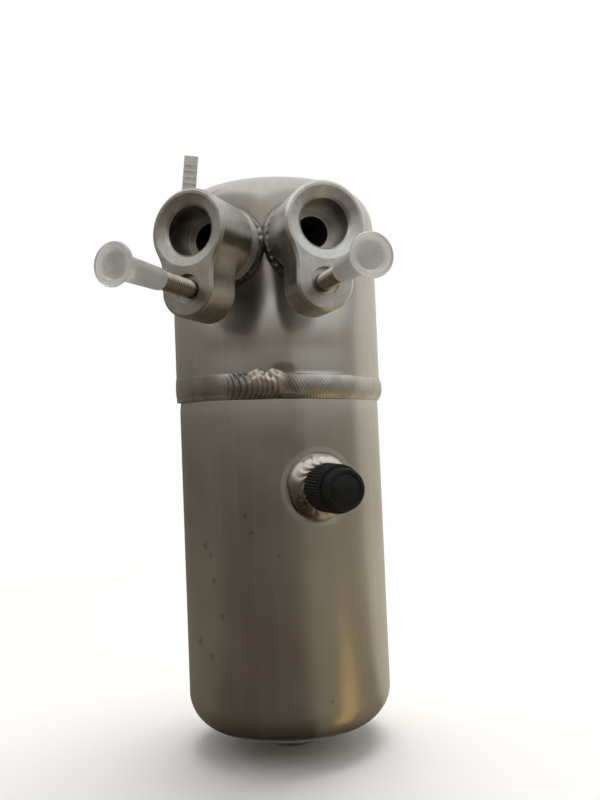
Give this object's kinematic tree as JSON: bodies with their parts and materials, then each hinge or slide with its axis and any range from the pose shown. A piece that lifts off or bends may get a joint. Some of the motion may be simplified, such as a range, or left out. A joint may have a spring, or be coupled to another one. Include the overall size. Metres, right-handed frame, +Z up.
{
  "type": "suction line accumulator",
  "caption": "Upright aluminium refrigerant accumulator: welded two-part can with twin bored port blocks and studs at the top front and a capped service port on its side.",
  "frame": {"origin": "on the can's axis at the middle of the strap seat on the lower shell", "axes": "+Z up along the can's axis, -Y towards the ridge between the two port flats, +X towards the outlet port's side"},
  "size_m": [0.0839, 0.1349, 0.2153],
  "materials": {
    "shell": "drawn, satin, handled",
    "weld_bead": "as welded, rippled",
    "machined_block": "machined, fine tool marks",
    "stud": "zinc plated",
    "stud_cap": "frosted translucent polyethylene",
    "dust_cap": "moulded black, grooved grip",
    "seal": "moulded",
    "valve_brass": "turned",
    "spring_steel": "bright wire",
    "tube": "drawn, plain",
    "filter_plastic": "moulded nylon",
    "felt": "needled felt",
    "strap": "moulded nylon",
    "tie": "moulded nylon, ribbed"
  },
  "bodies": {
    "can": {"lower_shell": "shell", "upper_shell": "shell", "girth_weld": "weld_bead", "inlet_block": "machined_block", "outlet_block": "machined_block", "inlet_weld": "weld_bead", "outlet_weld": "weld_bead", "inlet_stud": "stud", "outlet_stud": "stud", "service_port": "machined_block", "service_weld": "weld_bead", "valve_core": "valve_brass", "valve_seal": "seal", "valve_spring": "spring_steel", "pickup_tube": "tube", "baffle": "tube", "oil_filter_cage": "filter_plastic", "oil_filter_screen": "spring_steel", "desiccant_bag": "felt", "bag_strap": "strap", "cable_tie": "tie"},
    "inlet_stud_cap": {"inlet_stud_cap": "stud_cap"},
    "outlet_stud_cap": {"outlet_stud_cap": "stud_cap"},
    "service_cap": {"service_cap": "dust_cap", "service_cap_seal": "seal"},
    "valve_pin": {"valve_pin": "valve_brass"}
  },
  "joints": [
    {"name": "inlet_cap_pull", "type": "slide", "parent": "can", "child": "inlet_stud_cap", "axis": [-0.363, -0.9311, 0.0349], "range_m": [0, 0.04]},
    {"name": "outlet_cap_pull", "type": "slide", "parent": "can", "child": "outlet_stud_cap", "axis": [0.3633, -0.9317, 0], "range_m": [0, 0.04]},
    {"name": "service_cap_pull", "type": "slide", "parent": "can", "child": "service_cap", "axis": [0.4242, -0.9056, 0], "range_m": [0, 0.03]},
    {"name": "valve_press", "type": "slide", "parent": "can", "child": "valve_pin", "axis": [-0.4242, 0.9056, 0], "range_m": [0, 0.0015], "stiffness_N_per_m": 400, "deforming": ["valve_spring"]}
  ]
}
